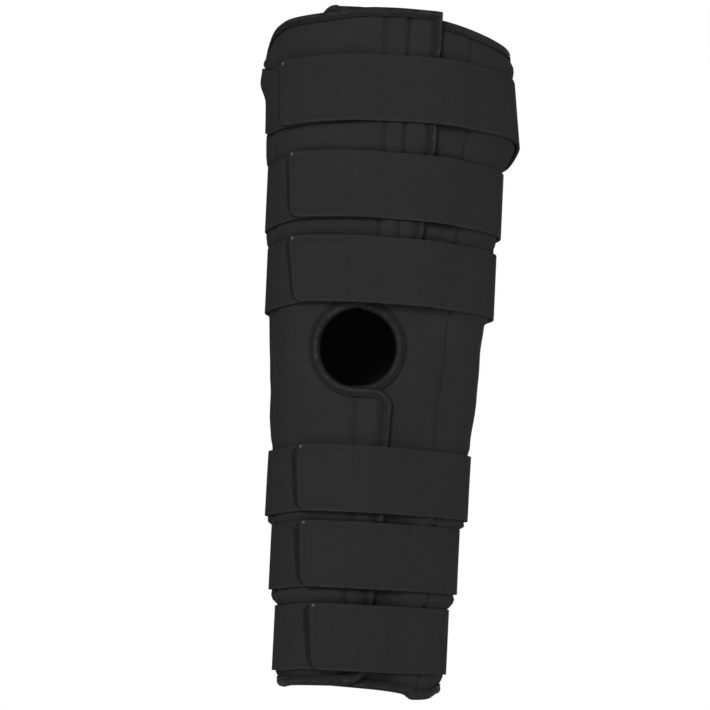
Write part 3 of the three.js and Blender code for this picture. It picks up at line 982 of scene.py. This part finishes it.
def build_sleeve():
    rows = math.ceil(LENGTH / CELL)
    bm = flat_sheet(guide_columns(), [i / rows for i in range(rows + 1)])
    lay_pattern(bm, FLAT_SCALE * FULL_TURN / len(GUIDES), LENGTH)
    outside = []
    for face in bm.faces:
        x, y, _ = face.calc_center_median()
        if inside(*flat_place(x, y)) < EDGE_TUCK:
            outside.append(face)
    bmesh.ops.delete(bm, geom=outside, context="FACES")
    thicken(bm)
    wrap(bm, sleeve_point)
    piece = finish_piece(bm, "sleeve_pad", SLEEVE_FABRIC, ["sleeve"])


# The binding: tape folded over the squeezed edge, from the inner face round to the outer one.

TAPE_WALL = 0.6
TAPE_PROFILE = [
    (6.8, -0.05), (5.2, 0.0), (3.6, 0.0), (2.2, 0.25), (1.0, 1.0), (0.25, 2.0), (0.0, 3.0),
    (0.25, 4.1), (0.9, 5.0), (1.8, 5.5), (2.9, 5.75), (3.9, 5.7), (4.6, 5.45), (5.2, 5.2),
    (5.8, 5.4), (6.3, 5.55), (6.8, 5.45),
]
STITCH_INSET = 5.2


def binding_point(step, way, layer):
    corner = round(step) % len(OUTLINE)
    inset, out = TAPE_PROFILE[round(way)]
    move = MITRES[corner] * inset
    return on_sleeve(*nudge(OUTLINE[corner], move.x, move.y), out)


def build_binding():
    bm = flat_sheet(range(len(OUTLINE) + 1), range(len(TAPE_PROFILE)))
    lay_pattern(bm, EDGE_STEP, TAPE_STEP)
    bmesh.ops.reverse_faces(bm, faces=bm.faces[:])
    wrap(bm, binding_point)
    bmesh.ops.remove_doubles(bm, verts=bm.verts[:], dist=0.01 * METRES)
    piece = finish_piece(bm, "edge_binding_tape", BINDING_FABRIC, ["edge_binding"])
    solid = piece.modifiers.new("tape wall", "SOLIDIFY")
    solid.thickness = TAPE_WALL * METRES
    solid.offset = -1


# Straps and the hook tabs under their outer ends.

STRAP_STEP_TURN = 1.5
# How far, in hook margins, the hook tape reaches past a strap's outer end as a painted shadow strip.
HOOK_SHADOW_REACH = 3.2
END_CURL = 1.3
CURL_TURN = 9
ACROSS_PIECES = 16
END_SHARES = (0, 0.03, 0.12, 0.27, 0.5, 0.75, 1)
EDGE_ROUND_SHARE = 0.35
HOOK_SUNK = 0.1


def strap_point(strap, turn, across, out):
    """A point on a strap, out from its inner face. Its outer end laps over its inner one."""
    level, top_turn, bottom_turn, _, course = STRAPS[strap]
    height = LENGTH * level + STRAP_WIDTH * (courses[course][0](turn) + across - 0.5)
    lapped = 1 - ease(turn - top_turn - LAP_TURN, *LAP_FADE_TURNS)
    skew = (mix(bottom_turn, top_turn, across) - top_turn) * max(0, 1 - (turn - top_turn) / SKEW_TURN)
    width = free_width(height) - dent(height)
    held = grip(strap) - width + LAYER_GAP + slack(course, turn, across)
    curl = END_CURL * (1 - ease(turn - top_turn, 0, CURL_TURN))
    laid = cover_out(turn + skew, height) + held + LAP_LIFT * lapped + curl
    return place(turn + skew, height, laid + out)


def band_columns(start, end, radius, per_turn):
    """Angles along a band: close together at its rounded ends, then evenly."""
    rounded = radius / per_turn
    near = [start + rounded * share for share in END_SHARES]
    pieces = math.ceil((end - start - 2 * rounded) / STRAP_STEP_TURN)
    middle = [mix(near[-1], end - rounded, i / pieces) for i in range(1, pieces)]
    far = [start + end - turn for turn in reversed(near)]
    return near + middle + far


def narrowing(distance, radius):
    """How much a rounded end narrows each side of a band at a distance from the end."""
    if distance >= radius:
        return 0.0
    return radius - math.sqrt(max(0.0, radius**2 - (radius - distance) ** 2))


def build_band(strap, name, start, end, margin, inner, outer, material, node):
    per_turn = per_degree(LENGTH * STRAPS[strap][0]) * (1 + LIFT / CALF_HALF_WIDTH)
    columns = band_columns(start, end, STRAP_END_ROUND, per_turn)
    rows = [i / ACROSS_PIECES for i in range(ACROSS_PIECES + 1)]
    bm = flat_sheet(columns, rows)
    lay_pattern(bm, per_turn, STRAP_WIDTH)
    thicken(bm)

    def placed(turn, across, layer):
        distance = min(turn - start, end - turn) * per_turn
        edge = (margin + narrowing(distance, STRAP_END_ROUND)) / STRAP_WIDTH
        return strap_point(strap, turn, mix(edge, 1 - edge, across), mix(inner, outer, layer))

    wrap(bm, placed)
    piece = finish_piece(bm, name, material, [node])
    round_edges(piece, (outer - inner) * EDGE_ROUND_SHARE, 2)


def build_strap(strap):
    start = STRAPS[strap][1]
    build_band(
        strap, f"strap_{strap}_band", start, start + FULL_TURN + LAP_TURN, 0, 0, STRAP_WALL,
        STRAP_FABRIC, f"strap_{strap}",
    )


def build_hook_tab(strap):
    """The hooks reach a little past the strap's outer end, and that dark strip is painted shadow, for the
    shade beside the raised end.
    """
    margin = HOOK_MARGIN / per_degree(LENGTH * STRAPS[strap][0])
    start = STRAPS[strap][1]
    outer = HOOK_SUNK - LAYER_GAP
    build_band(
        strap, f"hook_tab_{strap}_tape", start - HOOK_SHADOW_REACH * margin, start + LAP_TURN - margin,
        HOOK_MARGIN, outer - HOOK_WALL, outer, HOOK_FABRIC, f"hook_tab_{strap}",
    )


# Stitches.

STITCH_PITCH = 3.3
THREAD_RADIUS = 0.24
THREAD_SIDES = 5
THREAD_RISES = ((0.0, -0.45), (0.16, 0.0), (0.5, 0.12), (0.84, 0.0))
SEAM_END_INSET = 7
OUTER_STITCH_OUT = 5.25
INNER_STITCH_OUT = -0.1


def sew(bm, path, normals, pitch=STITCH_PITCH, radius=THREAD_RADIUS):
    """Runs a thread along a path of points in metres, diving into the fabric between its stitches."""
    lengths = [0.0]
    for start, end in zip(path, path[1:]):
        lengths.append(lengths[-1] + (end - start).length / METRES)
    stitches = max(1, round(lengths[-1] / pitch))
    columns = [i + phase for i in range(stitches) for phase, _ in THREAD_RISES] + [stitches]
    thread = flat_sheet(columns, range(THREAD_SIDES + 1))

    def placed(stitch, side, layer):
        gone = lengths[-1] * stitch / stitches
        i = min(len(path) - 2, max(0, bisect.bisect_right(lengths, gone) - 1))
        start, end, normal = path[i], path[i + 1], normals[i]
        way = (end - start).normalized()
        across = normal.cross(way).normalized()
        phase = stitch - int(stitch + 0.01)
        rise = min(THREAD_RISES, key=lambda step: abs(step[0] - phase))[1]
        angle = math.tau * side / THREAD_SIDES
        thick = 0 if stitch in (columns[0], columns[-1]) else radius
        centre = start.lerp(end, (gone - lengths[i]) / (lengths[i + 1] - lengths[i]))
        round_thread = across * math.cos(angle) + normal * math.sin(angle)
        return centre + (normal * rise + round_thread * thick) * METRES

    wrap(thread, placed)
    bmesh.ops.remove_doubles(thread, verts=thread.verts[:], dist=0.005 * METRES)
    bmesh.ops.recalc_face_normals(thread, faces=thread.faces[:])
    laid = bpy.data.meshes.new("thread")
    thread.to_mesh(laid)
    thread.free()
    bm.from_mesh(laid)
    bpy.data.meshes.remove(laid)


def outward(turn):
    angle = math.radians(turn)
    return Vector((math.sin(angle), -math.cos(angle), 0))


def sew_binding(bm, out):
    path, normals = [], []
    for i in range(len(OUTLINE) + 1):
        corner = i % len(OUTLINE)
        move = MITRES[corner] * STITCH_INSET
        turn, height = nudge(OUTLINE[corner], move.x, move.y)
        path.append(on_sleeve(turn, height, out))
        normals.append(outward(turn))
    sew(bm, path, normals)


def sew_guide(bm, guide, lowest):
    """Stitches down a guide, wherever the sleeve has fabric inside its binding."""
    runs = [[]]
    steps = math.ceil(LENGTH / EDGE_STEP)
    for i in range(steps + 1):
        height = mix(-LENGTH / 2, LENGTH / 2, i / steps)
        turn = guide(height)
        if height > lowest and inside(turn, height) > SEAM_END_INSET:
            point = on_sleeve(turn, height, sleeve_wall(turn, height))
            runs[-1].append((point, outward(turn)))
        elif runs[-1]:
            runs.append([])
    for run in runs:
        if len(run) > 1:
            sew(bm, *zip(*run))


def build_sleeve_stitches():
    bm = bmesh.new()
    for out in (OUTER_STITCH_OUT, INNER_STITCH_OUT):
        sew_binding(bm, out)
    for guide, lowest, _ in STITCHED_GUIDES:
        sew_guide(bm, guide, lowest)
    finish_piece(bm, "sleeve_stitches", BLACK_THREAD)


BOX_INSET = 4.5
BOX_LEVELS = (0.09, 0.91)
BOX_STEPS = 24
BOX_SUNK = 0.05
BOX_THREAD_RADIUS = 0.16


def build_strap_stitches():
    """A box of stitches that holds each hook tab to its strap's outer end."""
    bm = bmesh.new()
    low, high = BOX_LEVELS
    shares = [i / BOX_STEPS for i in range(BOX_STEPS + 1)]
    for strap, (level, start, _, _, _) in STRAPS.items():
        inset = BOX_INSET / per_degree(LENGTH * level)
        left, right = start + inset, start + LAP_TURN - inset
        corners = [(left, low), (right, low), (right, high), (left, high), (left, low)]
        for begin, end in zip(corners, corners[1:]):
            run = [(mix(begin[0], end[0], share), mix(begin[1], end[1], share)) for share in shares]
            path = [strap_point(strap, turn, at, STRAP_WALL - BOX_SUNK) for turn, at in run]
            sew(bm, path, [outward(turn) for turn, _ in run], radius=BOX_THREAD_RADIUS)
    finish_piece(bm, "strap_stitches", BLACK_THREAD)


# Each thread of a tack: how far it lies from the strap's end, and the level at which it starts.
TACK_THREADS = ((2.6, 0.925), (3.3, 0.935), (4.0, 0.945))
TACK_TOP = 0.985
TACK_PITCH = 3.6
TACK_THREAD_RADIUS = 0.26


def build_tacks():
    """The few pale threads of each tack at the upper corner of a strap's outer end."""
    bm = bmesh.new()
    for strap, (level, start, _, _, _) in STRAPS.items():
        for inset, low in TACK_THREADS:
            turn = start + inset / per_degree(LENGTH * level)
            path = [strap_point(strap, turn, at, STRAP_WALL) for at in (low, TACK_TOP)]
            sew(bm, path, [outward(turn)] * 2, pitch=TACK_PITCH, radius=TACK_THREAD_RADIUS)
    finish_piece(bm, "strap_tacks", PALE_THREAD)


build_sleeve()
build_binding()
for strap_name in STRAPS:
    build_strap(strap_name)
    build_hook_tab(strap_name)
build_sleeve_stitches()
build_strap_stitches()
build_tacks()

# Floor, light and camera.

FLOOR_HEIGHT = -0.40
FLOOR_HALF = 1.6
FLOOR_GLOW = 0.35


def build_floor():
    mesh = bpy.data.meshes.new("floor")
    bm = bmesh.new()
    bmesh.ops.create_grid(bm, x_segments=1, y_segments=1, size=FLOOR_HALF)
    bmesh.ops.translate(bm, verts=bm.verts[:], vec=(0, 0, FLOOR_HEIGHT))
    bm.to_mesh(mesh)
    bm.free()
    floor = bpy.data.objects.new("floor", mesh)
    bpy.context.scene.collection.objects.link(floor)
    material, wires, shader = new_material("pale floor")
    shader.inputs["Base Color"].default_value = grey(0.85)
    shader.inputs["Roughness"].default_value = 0.9
    seen = wires.node("ShaderNodeLightPath").outputs["Is Camera Ray"]
    wires.feed(shader, "Emission Color", wires.blended(seen, grey(0), grey(FLOOR_GLOW)))
    shader.inputs["Emission Strength"].default_value = 1.0
    mesh.materials.append(material)


def add_area_light(name, spot, size, power):
    """A round light that faces the sleeve's middle."""
    lamp = bpy.data.lights.new(name, "AREA")
    lamp.shape = "DISK"
    lamp.size = size
    lamp.energy = power
    light = bpy.data.objects.new(name, lamp)
    bpy.context.scene.collection.objects.link(light)
    light.location = spot
    light.rotation_mode = "QUATERNION"
    light.rotation_quaternion = (-Vector(spot)).to_track_quat("-Z", "Y")


SURROUND_BELOW = 0.04
SURROUND_ABOVE = 0.15
SURROUND_RISE = (-0.6, 0.6)

# Lights: name, place in metres, size and power.
LIGHTS = [
    ("key", (-0.4, -2.4, 0.7), 0.9, 38),
    ("front fill", (0.3, -2.5, -0.4), 1.6, 6.5),
    ("right fill", (2.3, 0.6, 0.0), 1.6, 23),
    ("back fill", (0.0, 2.5, 0.6), 1.2, 26),
]


def light_studio():
    """White backdrop for the camera, a dim surround for the object, a soft key and three fills."""
    world = bpy.data.worlds.new("studio")
    bpy.context.scene.world = world
    world.use_nodes = True
    wires = Wiring(world.node_tree)
    world.node_tree.nodes.clear()
    seen = wires.node("ShaderNodeBackground", Color=WHITE, Strength=1.0)
    directions = wires.node("ShaderNodeTexCoord").outputs["Generated"]
    way = wires.node("ShaderNodeSeparateXYZ", Vector=directions)
    strength = wires.stretched(way.outputs["Z"], *SURROUND_RISE, SURROUND_BELOW, SURROUND_ABOVE)
    around = wires.node("ShaderNodeBackground", Color=WHITE, Strength=strength)
    path = wires.node("ShaderNodeLightPath")
    blend = wires.node("ShaderNodeMixShader")
    wires.feed(blend, "n0", path.outputs["Is Camera Ray"])
    wires.feed(blend, "n1", around.outputs[0])
    wires.feed(blend, "n2", seen.outputs[0])
    wires.node("ShaderNodeOutputWorld", Surface=blend.outputs[0])
    for light in LIGHTS:
        add_area_light(*light)


CAMERA_AZIMUTH = 7.9
CAMERA_ELEVATION = -4.8
CAMERA_ROLL = 2.8
CAMERA_DISTANCE = 2.4
CAMERA_TARGET = Vector((-0.0155, -0.00227, 0.00139))
CAMERA_LENS = 156.0
SENSOR_WIDTH = 36.0


def set_camera():
    azimuth, elevation, roll = map(math.radians, (CAMERA_AZIMUTH, CAMERA_ELEVATION, CAMERA_ROLL))
    flat = math.cos(elevation)
    back = Vector((math.sin(azimuth) * flat, -math.cos(azimuth) * flat, math.sin(elevation)))
    level = Vector((math.cos(azimuth), math.sin(azimuth), 0))
    upright = level.cross(-back)
    right = math.cos(roll) * level + math.sin(roll) * upright
    up = -math.sin(roll) * level + math.cos(roll) * upright
    data = bpy.data.cameras.new("camera")
    data.sensor_width = SENSOR_WIDTH
    data.lens = CAMERA_LENS
    camera = bpy.data.objects.new("camera", data)
    bpy.context.scene.collection.objects.link(camera)
    turned = Matrix((right, up, back)).transposed().to_4x4()
    camera.matrix_world = Matrix.Translation(CAMERA_TARGET + CAMERA_DISTANCE * back) @ turned
    bpy.context.scene.camera = camera


build_floor()
light_studio()
set_camera()
bpy.context.scene.view_settings.view_transform = "Standard"
